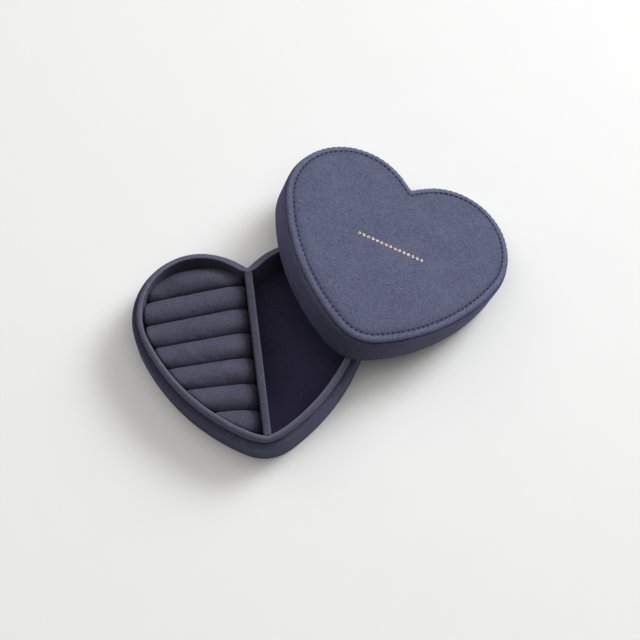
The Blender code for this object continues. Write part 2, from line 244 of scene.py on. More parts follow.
def half_arcs(offset, notch):
    """Arcs of the right half as (centre, radius, first and last heading)."""
    lobe = Vector((HALF_WIDTH - LOBE_RADIUS, HALF_LENGTH - LOBE_RADIUS))
    side = on_arc(lobe, LOBE_RADIUS - SIDE_RADIUS, LOBE_START)
    tip = Vector((0.0, TIP_RADIUS - HALF_LENGTH))
    flank = on_arc(lobe, LOBE_RADIUS - FLANK_RADIUS, FLANK_START)
    reach = FLANK_RADIUS - offset + notch
    fillet = Vector((0.0, flank.y + math.sqrt(reach ** 2 - flank.x ** 2)))
    flank_end = math.pi + math.asin(flank.x / reach)
    return ((tip, TIP_RADIUS - offset, 0.0, SIDE_START),
            (side, SIDE_RADIUS - offset, SIDE_START, LOBE_START),
            (lobe, LOBE_RADIUS - offset, LOBE_START, FLANK_START),
            (flank, FLANK_RADIUS - offset, FLANK_START, flank_end),
            (fillet, -notch, flank_end, math.pi))


def arc_lengths(offset, notch):
    """Lengths of the right half's arcs."""
    return [abs(radius * (end - start))
            for _, radius, start, end in half_arcs(offset, notch)]


def stations(offset, notch, count):
    """Evenly spaced places along the right half, as (arc, share of the arc)."""
    lengths = arc_lengths(offset, notch)
    total = sum(lengths)
    found = []
    for i in range(count + 1):
        left = total * i / count
        arc = 0
        while arc < len(lengths) - 1 and left > lengths[arc]:
            left -= lengths[arc]
            arc += 1
        found.append((arc, min(1.0, left / lengths[arc])))
    return found


HOOP_PLACES = stations(0.0, NOTCH_RADIUS, HALF_STEPS)
SEAM_LENGTH = 2 * sum(arc_lengths(SEAM_INSET, SEAM_NOTCH))
STITCHES = 2 * round(SEAM_LENGTH / STITCH_PITCH / 2)
SEAM_PLACES = stations(SEAM_INSET, SEAM_NOTCH, STITCHES * PLACES_PER_STITCH // 2)


def outline(offset, notch=None, places=None):
    """Closed heart outline, offset inwards, counter-clockwise from the tip."""
    if notch is None:
        notch = NOTCH_RADIUS + offset
    arcs = half_arcs(offset, notch)
    half = []
    for arc, share in places or HOOP_PLACES:
        centre, radius, start, end = arcs[arc]
        half.append(on_arc(centre, radius, start + (end - start) * share))
    half[0].x = 0.0
    half[-1].x = 0.0
    return half + [Vector((-p.x, p.y)) for p in reversed(half[1:-1])]


def middle_line(offset, x, at_tip):
    """Where a line along the heart, at x, meets the tip's or the notch's arc."""
    arcs = half_arcs(offset, NOTCH_RADIUS + offset)
    centre, radius, _, _ = arcs[0 if at_tip else -1]
    return centre.y - math.sqrt(radius ** 2 - x ** 2)


# ------ profiles

def round_corner(here, before, after, radius):
    """Points of an arc that rounds a corner, given the directions to its neighbours."""
    half = before.angle(after) / 2
    centre = here + (before + after).normalized() * radius / math.sin(half)
    first = here + before * radius / math.tan(half) - centre
    last = here + after * radius / math.tan(half) - centre
    turn = math.pi - 2 * half
    points = []
    for step in range(CORNER_STEPS + 1):
        share = step / CORNER_STEPS
        arm = first * math.sin((1 - share) * turn) + last * math.sin(share * turn)
        points.append(centre + arm / math.sin(turn))
    return points


def rounded(corners):
    """Closed profile through (offset, height, radius) corners, in millimetres."""
    points = []
    for i, (offset, height, radius) in enumerate(corners):
        here = Vector((offset, height)) * MM
        before = (Vector(corners[i - 1][:2]) * MM - here).normalized()
        after = (Vector(corners[(i + 1) % len(corners)][:2]) * MM - here).normalized()
        points += round_corner(here, before, after, radius * MM)
    dense = []
    for here, after in zip(points, points[1:] + points[:1]):
        parts = max(1, math.ceil((after - here).length / PROFILE_REACH))
        dense += [here.lerp(after, k / parts) for k in range(parts)]
    return dense


# ------ mesh tools

def add_object(name, data):
    """New object in the scene."""
    item = bpy.data.objects.new(name, data)
    bpy.context.scene.collection.objects.link(item)
    return item


def shade(mesh, smooth):
    """Shade a whole mesh smooth or flat."""
    mesh.polygons.foreach_set("use_smooth", [smooth] * len(mesh.polygons))


def finish_mesh(name, bm):
    """Smooth-shaded object from a bmesh, with its faces pointing out."""
    bmesh.ops.recalc_face_normals(bm, faces=bm.faces)
    mesh = bpy.data.meshes.new(name)
    bm.to_mesh(mesh)
    bm.free()
    shade(mesh, True)
    return add_object(name, mesh)


def add_ring(bm, points, height):
    """Verts of a flat ring at a height."""
    return [bm.verts.new((p.x, p.y, height)) for p in points]


def bridge(bm, lower, upper):
    """Quads between two closed rings of verts."""
    count = len(lower)
    for i in range(count):
        j = (i + 1) % count
        bm.faces.new((lower[i], lower[j], upper[j], upper[i]))


def hoop(name, profile):
    """Closed band round the heart with a closed profile of (offset, height)."""
    bm = bmesh.new()
    rings = [add_ring(bm, outline(offset), height) for offset, height in profile]
    for lower, upper in zip(rings, rings[1:] + rings[:1]):
        bridge(bm, lower, upper)
    return finish_mesh(name, bm)


def inside(points, ring):
    """Which points lie in a closed outline, even-odd."""
    after = np.roll(ring, -1, axis=0)
    crossed = np.zeros(len(points), bool)
    for (x0, y0), (x1, y1) in zip(ring, after):
        if y0 == y1:
            continue
        spans = (points[:, 1] >= min(y0, y1)) & (points[:, 1] < max(y0, y1))
        at = x0 + (points[:, 1] - y0) * (x1 - x0) / (y1 - y0)
        crossed ^= spans & (points[:, 0] < at)
    return crossed


def net_points(ring, step):
    """Points of a triangular net in an outline, clear of its edge."""
    ring = np.array([(p[0], p[1]) for p in ring])
    low = ring.min(0)
    high = ring.max(0)
    rows = []
    for j in range(int((high[1] - low[1]) / (step * NET_ROW)) + 1):
        y = low[1] + j * step * NET_ROW
        x = np.arange(low[0] + (j % 2) * step / 2, high[0], step)
        rows.append(np.stack([x, np.full(len(x), y)], axis=1))
    points = np.concatenate(rows)
    points = points[inside(points, ring)]
    clear = np.full(len(points), True)
    for corner in ring:
        clear &= np.hypot(*(points - corner).T) > step * NET_CLEAR
    return points[clear]


def fill(bm, ring, step, height):
    """Close a ring of verts with a fine net of triangles."""
    edge = [Vector(v.co.xy) for v in ring]
    inner = [Vector(p) for p in net_points(edge, step)]
    loop = list(range(len(edge)))
    inside_only = 1
    points, _, faces, origins, _, _ = geometry.delaunay_2d_cdt(
        edge + inner, [], [loop], inside_only, MERGE_DISTANCE)
    verts = []
    for point, origin in zip(points, origins):
        if origin and origin[0] < len(edge):
            verts.append(ring[origin[0]])
        else:
            verts.append(bm.verts.new((point.x, point.y, height)))
    for face in faces:
        bm.faces.new([verts[i] for i in face])


def ripple(item, amount, size, seed=0.0):
    """Move an item's points along their normals by slow, fixed noise."""
    shift = Vector((seed, seed * 1.7, seed * 2.3))
    moved = []
    for vert in item.data.vertices:
        value = noise.noise(vert.co / size + shift)
        value += RIPPLE_FINE_SHARE * noise.noise(vert.co * RIPPLE_FINE / size + shift)
        moved.append(vert.co + vert.normal * (amount * value))
    for vert, place_at in zip(item.data.vertices, moved):
        vert.co = place_at
    item.data.update()


def ease(value, low, high):
    """0 up to low and 1 from high on, with a soft step between."""
    share = np.clip((value - low) / (high - low), 0.0, 1.0)
    return share * share * (3.0 - 2.0 * share)


def set_painted_light(item, values):
    """Store the painted light at each point: painted highlight above 0, painted shade below."""
    layer = item.data.attributes.new("painted_light", "FLOAT", "POINT")
    layer.data.foreach_set("value", values.astype(np.float32))


def lid_matrix():
    """From the lid's own frame to where the lid lies."""
    axis = Vector((-math.sin(LID_HEADING), math.cos(LID_HEADING), 0.0))
    return (Matrix.Translation(LID_PLACE) @ Matrix.Rotation(LID_TILT, 4, axis)
            @ Matrix.Rotation(LID_TURN, 4, "Z"))


def place(item, body, material, slot, *nodes):
    """Set a finished piece on its body, with its material; the slot argument is not used."""
    if body == "lid":
        item.data.transform(lid_matrix())
    item.data.materials.append(material)
    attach(item, body)
    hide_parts(*nodes)


# ------ cloth

def coordinates(mesh):
    """Places of a mesh's points, one row each."""
    values = np.empty(len(mesh.vertices) * 3)
    mesh.vertices.foreach_get("co", values)
    return values.reshape(-1, 3)


def set_coordinates(mesh, values):
    """Move a mesh's points to new places."""
    mesh.vertices.foreach_set("co", values.ravel())
    mesh.update()


def apply_modifier(item, modifier):
    """Replace an item's mesh by what its modifier makes of it."""
    graph = bpy.context.evaluated_depsgraph_get()
    mesh = bpy.data.meshes.new_from_object(item.evaluated_get(graph))
    item.modifiers.remove(modifier)
    item.data = mesh


def remesh(item, voxel):
    """Replace an item's mesh by an even net of quads."""
    modifier = item.modifiers.new("Remesh", "REMESH")
    modifier.mode = "VOXEL"
    modifier.voxel_size = voxel
    apply_modifier(item, modifier)


def subdivide(item):
    """Smooth an item's mesh by one subdivision."""
    modifier = item.modifiers.new("Subdivision", "SUBSURF")
    modifier.levels = 1
    modifier.render_levels = 1
    apply_modifier(item, modifier)


def add_cloth(item, group, pressure):
    """Soft padded cloth under pressure, pinned by a vertex group."""
    cloth = item.modifiers.new("Cloth", "CLOTH")
    cloth.settings.quality = 5
    cloth.settings.mass = 0.3
    cloth.settings.tension_stiffness = 15.0
    cloth.settings.compression_stiffness = 15.0
    cloth.settings.shear_stiffness = 5.0
    cloth.settings.bending_stiffness = 0.5
    cloth.settings.use_pressure = True
    cloth.settings.uniform_pressure_force = pressure
    cloth.settings.vertex_group_mass = group.name
    cloth.settings.effector_weights.gravity = 0.0
    cloth.point_cache.frame_start = 1
    cloth.point_cache.frame_end = SIM_FRAMES
    return cloth


def simulate(item, pinned, pressure):
    """Swell an item as cloth under pressure; returns its new coordinates."""
    item.data.transform(Matrix.Scale(SIM_SCALE, 4))
    group = item.vertex_groups.new(name="pinned")
    group.add(np.nonzero(pinned)[0].tolist(), 1.0, "REPLACE")
    cloth = add_cloth(item, group, pressure)
    for step in range(1, SIM_FRAMES + 1):
        bpy.context.scene.frame_set(step)
    graph = bpy.context.evaluated_depsgraph_get()
    swollen = coordinates(item.evaluated_get(graph).data) / SIM_SCALE
    item.modifiers.remove(cloth)
    item.vertex_groups.remove(group)
    item.data.transform(Matrix.Scale(1 / SIM_SCALE, 4))
    bpy.context.scene.frame_set(1)
    return swollen


def soften(moves, limit):
    """Moves shortened smoothly so that none is longer than the limit."""
    size = np.linalg.norm(moves, axis=1, keepdims=True)
    return moves * limit * np.tanh(size / limit) / np.maximum(size, TINY)


# ------ materials

def new_material(name, roughness, specular, metallic=0.0):
    """Material with its node tree and its shader."""
    material = bpy.data.materials.new(name)
    material.use_nodes = True
    shader = material.node_tree.nodes["Principled BSDF"]
    shader.inputs["Roughness"].default_value = roughness
    shader.inputs["Specular IOR Level"].default_value = specular
    shader.inputs["Metallic"].default_value = metallic
    return material, material.node_tree, shader


def set_sheen(shader, weight, roughness, tint):
    """Give a shader the soft edge light of cloth."""
    shader.inputs["Sheen Weight"].default_value = weight
    shader.inputs["Sheen Roughness"].default_value = roughness
    shader.inputs["Sheen Tint"].default_value = (*tint, 1.0)


def object_coordinates(tree, stretch=(1.0, 1.0, 1.0), turn=0.0):
    """Places on the object, stretched and turned about Z."""
    coords = tree.nodes.new("ShaderNodeTexCoord")
    mapping = tree.nodes.new("ShaderNodeMapping")
    mapping.inputs["Scale"].default_value = stretch
    mapping.inputs["Rotation"].default_value = (0.0, 0.0, turn)
    tree.links.new(coords.outputs["Object"], mapping.inputs["Vector"])
    return mapping.outputs["Vector"]


def add_noise(tree, vector, scale, detail=2.0, roughness=0.5, distortion=0.0):
    """Noise, with its scale per metre."""
    node = tree.nodes.new("ShaderNodeTexNoise")
    node.inputs["Scale"].default_value = scale
    node.inputs["Detail"].default_value = detail
    node.inputs["Roughness"].default_value = roughness
    node.inputs["Distortion"].default_value = distortion
    tree.links.new(vector, node.inputs["Vector"])
    return node.outputs["Fac"]


def add_range(tree, value, to_low, to_high, low=NOISE_LOW, high=NOISE_HIGH):
    """Map a value from low and high to two other numbers."""
    node = tree.nodes.new("ShaderNodeMapRange")
    node.inputs["From Min"].default_value = low
    node.inputs["From Max"].default_value = high
    node.inputs["To Min"].default_value = to_low
    node.inputs["To Max"].default_value = to_high
    tree.links.new(value, node.inputs["Value"])
    return node.outputs["Result"]


def add_math(tree, operation, first, second):
    """Two values, or a value and a number, put together."""
    node = tree.nodes.new("ShaderNodeMath")
    node.operation = operation
    for socket, value in zip(node.inputs, (first, second)):
        if isinstance(value, float):
            socket.default_value = value
        else:
            tree.links.new(value, socket)
    return node.outputs["Value"]


def add_mix(tree, factor, first, second):
    """Blend of two fixed colours."""
    node = tree.nodes.new("ShaderNodeMix")
    node.data_type = "RGBA"
    tree.links.new(factor, node.inputs["Factor"])
    sockets = [socket for socket in node.inputs if socket.type == "RGBA"]
    for socket, colour in zip(sockets, (first, second)):
        socket.default_value = (*colour, 1.0)
    return [socket for socket in node.outputs if socket.type == "RGBA"][0]


def add_gain(tree, colour, factor):
    """Colour times a number that varies over the surface."""
    node = tree.nodes.new("ShaderNodeVectorMath")
    node.operation = "SCALE"
    tree.links.new(colour, node.inputs[0])
    tree.links.new(factor, node.inputs["Scale"])
    return node.outputs["Vector"]


def add_bump(tree, shader, height, strength, distance):
    """Small relief from a height that varies over the surface."""
    node = tree.nodes.new("ShaderNodeBump")
    node.inputs["Strength"].default_value = strength
    node.inputs["Distance"].default_value = distance
    tree.links.new(height, node.inputs["Height"])
    tree.links.new(node.outputs["Normal"], shader.inputs["Normal"])


def painted_light_gain(tree):
    """1 where no light is painted, more under painted highlights, less under painted shade."""
    node = tree.nodes.new("ShaderNodeAttribute")
    node.attribute_name = "painted_light"
    return add_math(tree, "ADD", node.outputs["Fac"], 1.0)


def pile(name, dark, light, sheen, grain=0.24, patches=0.07, stretch=(1.0, 1.0, 1.0)):
    """Short brushed pile: fine fibres, millimetre mottling and slow patches of lighter and darker
    pile, times the painted light and shade stored on its points.
    """
    material, tree, shader = new_material(name, roughness=0.95, specular=0.10)
    set_sheen(shader, sheen, 0.45, tuple(min(1.0, 5.0 * c) for c in light))
    vector = object_coordinates(tree)
    slow = add_noise(tree, object_coordinates(tree, stretch), PATCH_SCALE,
                     detail=3.0, roughness=0.55, distortion=0.6)
    mottle = add_noise(tree, vector, MOTTLE_SCALE, roughness=0.6)
    fibres = add_noise(tree, vector, FIBRE_SCALE, roughness=0.6)
    colour = add_mix(tree, add_range(tree, mottle, 0.0, 1.0), dark, light)
    coarse = MOTTLE_GAIN * grain
    fine = FIBRE_GAIN * grain
    gain = add_range(tree, mottle, 1.0 - coarse, 1.0 + coarse)
    gain = add_math(tree, "ADD", gain, add_range(tree, fibres, -fine, fine))
    gain = add_math(tree, "ADD", gain, add_range(tree, slow, -patches, patches))
    # Painted highlight and painted shade, stored on the points, scale the colour.
    gain = add_math(tree, "MULTIPLY", gain, painted_light_gain(tree))
    tree.links.new(add_gain(tree, colour, gain), shader.inputs["Base Color"])
    height = add_math(tree, "ADD", fibres, mottle)
    add_bump(tree, shader, height, strength=0.45, distance=0.12 * MM)
    return material


def add_threads(tree, turn):
    """Parallel ridges, one thread wide."""
    wave = tree.nodes.new("ShaderNodeTexWave")
    wave.inputs["Scale"].default_value = WAVE_BAND / THREAD_WIDTH
    wave.inputs["Distortion"].default_value = 0.6
    wave.inputs["Detail"].default_value = 1.0
    tree.links.new(object_coordinates(tree, turn=turn), wave.inputs["Vector"])
    return wave.outputs["Fac"]


def woven(name, colour):
    """Plain woven backing cloth."""
    material, tree, shader = new_material(name, roughness=0.9, specular=0.2)
    set_sheen(shader, 0.15, 0.6, (0.6, 0.6, 0.7))
    weave = add_math(tree, "MULTIPLY", add_threads(tree, 0.0), add_threads(tree, math.pi / 2))
    blotch = add_noise(tree, object_coordinates(tree), scale=160.0, detail=3.0)
    dark = tuple(0.6 * c for c in colour)
    base = add_mix(tree, add_range(tree, weave, 0.0, 1.0, low=0.0, high=0.8), dark, colour)
    gain = add_range(tree, blotch, 0.9, 1.1)
    tree.links.new(add_gain(tree, base, gain), shader.inputs["Base Color"])
    add_bump(tree, shader, weave, strength=0.6, distance=0.15 * MM)
    return material


def board(name):
    """Greyboard: flecked pulp."""
    material, tree, shader = new_material(name, roughness=0.85, specular=0.2)
    vector = object_coordinates(tree)
    pulp = add_noise(tree, vector, scale=500.0, detail=4.0, roughness=0.6)
    flecks = add_noise(tree, vector, scale=1500.0)
    colour = add_mix(tree, pulp, (0.30, 0.30, 0.295), (0.42, 0.42, 0.41))
    gain = add_range(tree, flecks, 0.85, 1.05, high=0.6)
    tree.links.new(add_gain(tree, colour, gain), shader.inputs["Base Color"])
    add_bump(tree, shader, pulp, strength=0.3, distance=0.1 * MM)
    return material


def twisted_thread(name):
    """Dark fuzzy thread."""
    material, tree, shader = new_material(name, roughness=0.65, specular=0.25)
    set_sheen(shader, 0.08, 0.5, (0.4, 0.42, 0.6))
    fuzz = add_noise(tree, object_coordinates(tree), scale=3000.0)
    colour = add_mix(tree, fuzz, (0.006, 0.006, 0.018), (0.015, 0.016, 0.040))
    tree.links.new(colour, shader.inputs["Base Color"])
    add_bump(tree, shader, fuzz, strength=0.4, distance=0.05 * MM)
    return material


def gold_foil(name):
    """Pale gold foil, finely wrinkled."""
    material, tree, shader = new_material(name, roughness=0.45, specular=0.5, metallic=1.0)
    wrinkle = add_noise(tree, object_coordinates(tree), scale=1800.0, detail=3.0, roughness=0.6)
    colour = add_mix(tree, wrinkle, (0.41, 0.31, 0.21), (0.60, 0.48, 0.35))
    tree.links.new(colour, shader.inputs["Base Color"])
    tree.links.new(add_range(tree, wrinkle, 0.38, 0.60), shader.inputs["Roughness"])
    add_bump(tree, shader, wrinkle, strength=0.4, distance=0.06 * MM)
    return material


# ------ base pieces

def build_base_wrap(material):
    """Suede round the wall, turned under the base and over the ledge."""
    profile = rounded([(2.7, 0.6, 0.15), (2.7, 0.0, 0.2), (0.0, 0.0, 0.9),
                       (0.0, 21.6, 1.6), (3.2, 21.1, 0.3), (3.2, 18.0, 0.1),
                       (2.95, 18.0, 0.1), (2.9, 20.7, 0.1), (0.6, 20.8, 1.0),
                       (0.6, 0.6, 0.3)])
    item = hoop("base_wrap", profile)
    # Painted shade: the suede darker towards the left.
    set_painted_light(item, LEFT_PAINTED_SHADE * ease(-coordinates(item.data)[:, 0], *LEFT_PAINTED_SHADE_SPAN))
    ripple(item, 0.10 * MM, 11.0 * MM)
    place(item, "base", material, "base_suede", "base_wall_wrap")


def tip_pinch(x, height):
    """How far the collar's cloth is drawn out to a pleat at the tip."""
    rise = (height - LEDGE_HEIGHT) / (COLLAR_TOP - LEDGE_HEIGHT)
    return PINCH * min(1.0, max(0.0, rise)) * math.exp(-abs(x) / PINCH_REACH)


def collar_painted_light(profile, places):
    """Painted highlight on the lip's crest and along its inner edge, painted shade at the foot and
    in the compartment.
    """
    count = len(places) // len(profile)
    offset = np.repeat(profile[:, 0], count)
    height = np.repeat(profile[:, 1], count)
    away = np.hypot(offset - COLLAR_INNER + COLLAR_HIGHLIGHT_IN, height - COLLAR_TOP + COLLAR_HIGHLIGHT_DOWN)
    crest = COLLAR_CREST_PAINTED_HIGHLIGHT * ease(height, *COLLAR_CREST_SPAN)
    highlight = crest + PAINTED_HIGHLIGHT_GAIN * np.exp(-(away / COLLAR_HIGHLIGHT_WIDTH) ** 2)
    foot = (offset < COLLAR_FOOT_OFFSET) * (1.0 - ease(height, *COLLAR_FOOT_SPAN))
    well = (offset > COLLAR_WELL_OFFSET) * (1.0 - ease(height, *COLLAR_WELL_SPAN))
    well = well * ease(places[:, 0], *COLLAR_WELL_SIDE)
    return highlight - COLLAR_FOOT_PAINTED_SHADE * foot - COLLAR_WELL_PAINTED_SHADE * well


def build_collar(material):
    """Velvet over the inner collar, which stands above the ledge."""
    profile = rounded([(3.25, 17.0, 0.1), (3.15, 29.7, 1.5), (5.9, 29.85, 0.75),
                       (5.9, 3.25, 0.1), (5.35, 3.25, 0.1), (5.3, 29.1, 0.7),
                       (3.8, 29.1, 0.7), (3.85, 17.0, 0.1)])
    item = hoop("collar_velvet_lining", profile)
    for vert in item.data.vertices:
        if vert.co.y < 0.0:
            vert.co.y -= tip_pinch(vert.co.x, vert.co.z)
    # Painted highlight on the lip, painted shade at the collar's foot and down the compartment's
    # wall.
    set_painted_light(item, collar_painted_light(np.array(profile), coordinates(item.data)))
    ripple(item, 0.10 * MM, 9.0 * MM, seed=3.0)
    place(item, "base", material, "velvet", "collar_lining")


def lip_offset(height):
    """How far in the collar's inner face lies at a height."""
    rise = height - (COLLAR_TOP - LIP_ROUND)
    if rise <= 0.0:
        return COLLAR_INNER
    rise = min(rise, LIP_ROUND * 0.98)  # short of the top, where the lip is level
    return COLLAR_INNER - LIP_ROUND + math.sqrt(LIP_ROUND ** 2 - rise ** 2)


def divider_row(bm, profile, share):
    """Ring of the divider's profile, a share of the way from the tip to the notch."""
    flare = max(0.0, 1.0 - min(share, 1.0 - share) * RISE_RATE)
    ring = []
    for x, z in profile:
        offset = lip_offset(z) + DIVIDER_GAP
        front = middle_line(offset, x, True) - tip_pinch(x, z)
        back = middle_line(offset, x, False)
        lift = DIVIDER_RISE * flare ** 2 if z > DIVIDER_TOP else 0.0
        ring.append(bm.verts.new((x, front + (back - front) * share, z + lift)))
    return ring


def divider_painted_light(places):
    """Painted highlight along the edge beside the compartment, a little darker all over, and painted
    shade low down.
    """
    away = np.hypot(places[:, 0] - DIVIDER_HIGHLIGHT_X, places[:, 2] - DIVIDER_HIGHLIGHT_HEIGHT)
    highlight = PAINTED_HIGHLIGHT_GAIN * np.exp(-(away / DIVIDER_HIGHLIGHT_WIDTH) ** 2)
    low = 1.0 - ease(places[:, 2], *DIVIDER_LOW_SPAN)
    return highlight - DIVIDER_SHADE - DIVIDER_LOW_PAINTED_SHADE * low


def build_divider(material):
    """Velvet over the divider, from the notch to the tip."""
    profile = rounded([(-2.0, 3.25, 0.1), (-2.0, 29.2, 1.35), (2.0, 29.5, 0.70),
                       (2.0, 3.25, 0.1), (1.4, 3.25, 0.1), (1.4, 28.8, 0.65),
                       (-1.4, 28.8, 0.65), (-1.4, 3.25, 0.1)])
    bm = bmesh.new()
    rings = [divider_row(bm, profile, step / DIVIDER_STEPS) for step in range(DIVIDER_STEPS + 1)]
    for lower, upper in zip(rings, rings[1:]):
        bridge(bm, lower, upper)
    bm.faces.new(rings[0])
    bm.faces.new(rings[-1])
    item = finish_mesh("divider_velvet_cover", bm)
    # Painted highlight along its right edge and painted shade low down.
    set_painted_light(item, divider_painted_light(coordinates(item.data)))
    ripple(item, 0.09 * MM, 9.0 * MM, seed=5.0)
    place(item, "base", material, "velvet", "divider_velvet")


def build_floor(material):
    """Velvet on the floor of the compartment, right of the divider."""
    offset = 6.0 * MM
    x_min = 2.1 * MM
    step = 2.5 * MM
    high = FLOOR_LOW + SKIN
    ring = [p for p in outline(offset) if p.x >= x_min]
    first = Vector((x_min, middle_line(offset, x_min, True)))
    last = Vector((x_min, middle_line(offset, x_min, False)))
    ring = [first] + ring + [last]
    bm = bmesh.new()
    bottom = add_ring(bm, ring, FLOOR_LOW)
    top = add_ring(bm, ring, high)
    bridge(bm, bottom, top)
    fill(bm, bottom, step, FLOOR_LOW)
    fill(bm, top, step, high)
    item = finish_mesh("compartment_velvet", bm)
    ripple(item, 0.05 * MM, 14.0 * MM, seed=8.0)
    place(item, "base", material, "velvet", "compartment_floor_velvet")


def sheet(name, rings, step, low, high):
    """Thin heart through (offset, height) rings, closed by nets at two heights, in mm."""
    bm = bmesh.new()
    verts = [add_ring(bm, outline(offset * MM), height * MM) for offset, height in rings]
    for lower, upper in zip(verts, verts[1:]):
        bridge(bm, lower, upper)
    fill(bm, verts[0], step, low * MM)
    fill(bm, verts[-1], step, high * MM)
    return finish_mesh(name, bm)


def build_underside(material):
    """Cloth under the base."""
    rings = ((3.1, 0.1), (2.9, 0.25), (2.9, 0.6))
    item = sheet("underside_cloth", rings, 3.0 * MM, low=0.1, high=0.6)
    place(item, "base", material, "underside_cloth", "base_underside_cover")


# ------ ring rolls

def slit_line(k):
    """Middle height and slope of the line between roll k and roll k + 1."""
    if k < 0:
        return ROLL_BACK_Y, 0.0
    if k == ROLL_COUNT - 1:
        return ROLL_FRONT_Y, 0.0
    slope = math.tan(math.radians(SLIT_TURN - SLIT_FAN * k * k))
    return FIRST_SLIT_Y - ROLL_PITCH * k, slope


def line_ends(y_middle, slope, wall):
    """First two places, from the left, where a line across the base meets the wall."""
    crossings = []
    for here, after in zip(wall, wall[1:] + wall[:1]):
        side_here = here.y - y_middle - slope * (here.x - ROLL_MIDDLE_X)
        side_after = after.y - y_middle - slope * (after.x - ROLL_MIDDLE_X)
        if side_here * side_after < 0.0:
            share = side_here / (side_here - side_after)
            crossings.append(here.x + (after.x - here.x) * share)
    crossings.sort()
    return crossings[0], crossings[1]


def roll_sag(x, y, z):
    """How far the top of a roll sinks near the divider and at the back wall."""
    if z < ROLL_SAG_LOW:
        return 0.0
    near = max(0.0, 1.0 + (x + DIVIDER_HALF) / ROLL_SAG_REACH)
    arm = Vector((x + HALF_WIDTH - LOBE_RADIUS, y - HALF_LENGTH + LOBE_RADIUS))
    room = LOBE_RADIUS - COLLAR_INNER - arm.length
    slope = max(0.0, 1.0 - max(0.0, room) / BACK_REACH)
    facing = (arm.y / max(arm.length, MM) - BACK_FACING) / BACK_FACING_SPAN
    facing = min(1.0, max(0.0, facing))
    drop = BACK_DROP * slope ** BACK_BEND * facing * facing * (3.0 - 2.0 * facing)
    return max(ROLL_SAG * near ** ROLL_SAG_BEND, drop)


def roll_section(left, right, top):
    """Section along a roll, as (x, z), round at both upper ends."""
    reach = min(ROLL_END_ROUND, (right - left) / 3)
    tuck = min(ROLL_TUCK, reach)
    length = right - left - tuck - reach
    turns = [math.radians(90 * i / ROLL_END_STEPS) for i in range(ROLL_END_STEPS + 1)]
    row = [(left, ROLL_LOW)]
    for turn in turns:
        row.append((left + tuck * (1 - math.cos(turn)), top - tuck * (1 - math.sin(turn))))
    for part in range(1, ROLL_PARTS):
        row.append((left + tuck + length * part / ROLL_PARTS, top))
    for turn in reversed(turns):
        row.append((right - reach * (1 - math.cos(turn)), top - reach * (1 - math.sin(turn))))
    row.append((right, ROLL_LOW))
    return row


def roll_rows(bm, k):
    """Rows of verts across roll k, each along a line from the collar to the divider."""
    back_y, back_slope = slit_line(k - 1)
    front_y, front_slope = slit_line(k)
    back_y -= ROLL_INSET
    front_y += ROLL_INSET
    wall = outline(COLLAR_INNER + ROLL_INSET)
    rows = []
    for step in range(ROLL_STEPS + 1):
        turn = math.pi * step / ROLL_STEPS
        share = (1.0 - math.cos(turn)) / 2
        y_middle = back_y + (front_y - back_y) * share
        slope = back_slope + (front_slope - back_slope) * share
        left, right = line_ends(y_middle, slope, wall)
        right = min(right, -(DIVIDER_HALF + ROLL_INSET))
        top = ROLL_EDGE + (ROLL_TOP - ROLL_EDGE) * math.sin(turn) ** ROLL_CROWN
        row = []
        for x, z in roll_section(left, right, top):
            y = y_middle + slope * (x - ROLL_MIDDLE_X)
            row.append(bm.verts.new((x, y, z - roll_sag(x, y, z))))
        rows.append(row)
    return rows


def roll_start(k):
    """Closed, slightly small mesh of roll k, from which the cloth swells."""
    bm = bmesh.new()
    rows = roll_rows(bm, k)
    for here, after in zip(rows, rows[1:]):
        for i in range(len(here) - 1):
            bm.faces.new((here[i], here[i + 1], after[i + 1], after[i]))
        bm.faces.new((here[0], after[0], after[-1], here[-1]))
    bm.faces.new(rows[0])
    bm.faces.new(rows[-1])
    return finish_mesh(f"ring_roll_{k + 1}", bm)


def roll_painted_light(k, places):
    """Painted shade towards the divider; the first roll has painted shade all over, so it is darker
    than the others.
    """
    near = ease(places[:, 0], *ROLL_END_SPAN)
    return ROLL_END_PAINTED_SHADE * near - (FIRST_ROLL_PAINTED_SHADE if k == 0 else 0.0)


def build_roll(k, material):
    """Padded ring roll, swollen by cloth simulation."""
    item = roll_start(k)
    remesh(item, ROLL_VOXEL)
    start = coordinates(item.data)
    moves = simulate(item, start[:, 2] < ROLL_PINNED, ROLL_PRESSURE) - start
    flat = moves.copy()
    flat[:, 2] = 0.0
    rise = moves - flat
    moved = start + soften(flat, ROLL_WIDEN_LIMIT) + soften(rise, ROLL_RISE_LIMIT)
    set_coordinates(item.data, moved)
    subdivide(item)
    shade(item.data, True)
    ripple(item, 0.12 * MM, 8.0 * MM, seed=11.0 + k)
    # Painted shade towards the divider, and over the first roll.
    set_painted_light(item, roll_painted_light(k, coordinates(item.data)))
    place(item, "base", material, "velvet",
          f"ring_roll_velvet_{k + 1}", f"ring_roll_foam_{k + 1}")


# ------ lid pieces

def build_lid_wrap(material):
    """Suede round the lid's wall, turned in at the rim and over the top board."""
    profile = rounded([(2.05, 0.7, 0.1), (2.05, 0.0, 0.3), (0.0, 0.0, 0.9),
                       (0.0, 18.8, 1.5), (4.0, 18.8, 0.1), (4.0, 18.2, 0.1),
                       (0.6, 18.2, 0.9), (0.6, 0.6, 0.3)])
    item = hoop("lid_wrap", profile)
    places = coordinates(item.data)
    from_tip = np.hypot(places[:, 0], places[:, 1] + HALF_LENGTH)
    # Painted shade: the wall darker towards the tip.
    set_painted_light(item, LID_TIP_PAINTED_SHADE * (1.0 - ease(from_tip, *LID_TIP_SPAN)))
    ripple(item, 0.10 * MM, 12.0 * MM, seed=21.0)
    place(item, "lid", material, "lid_suede", "lid_wall_wrap")


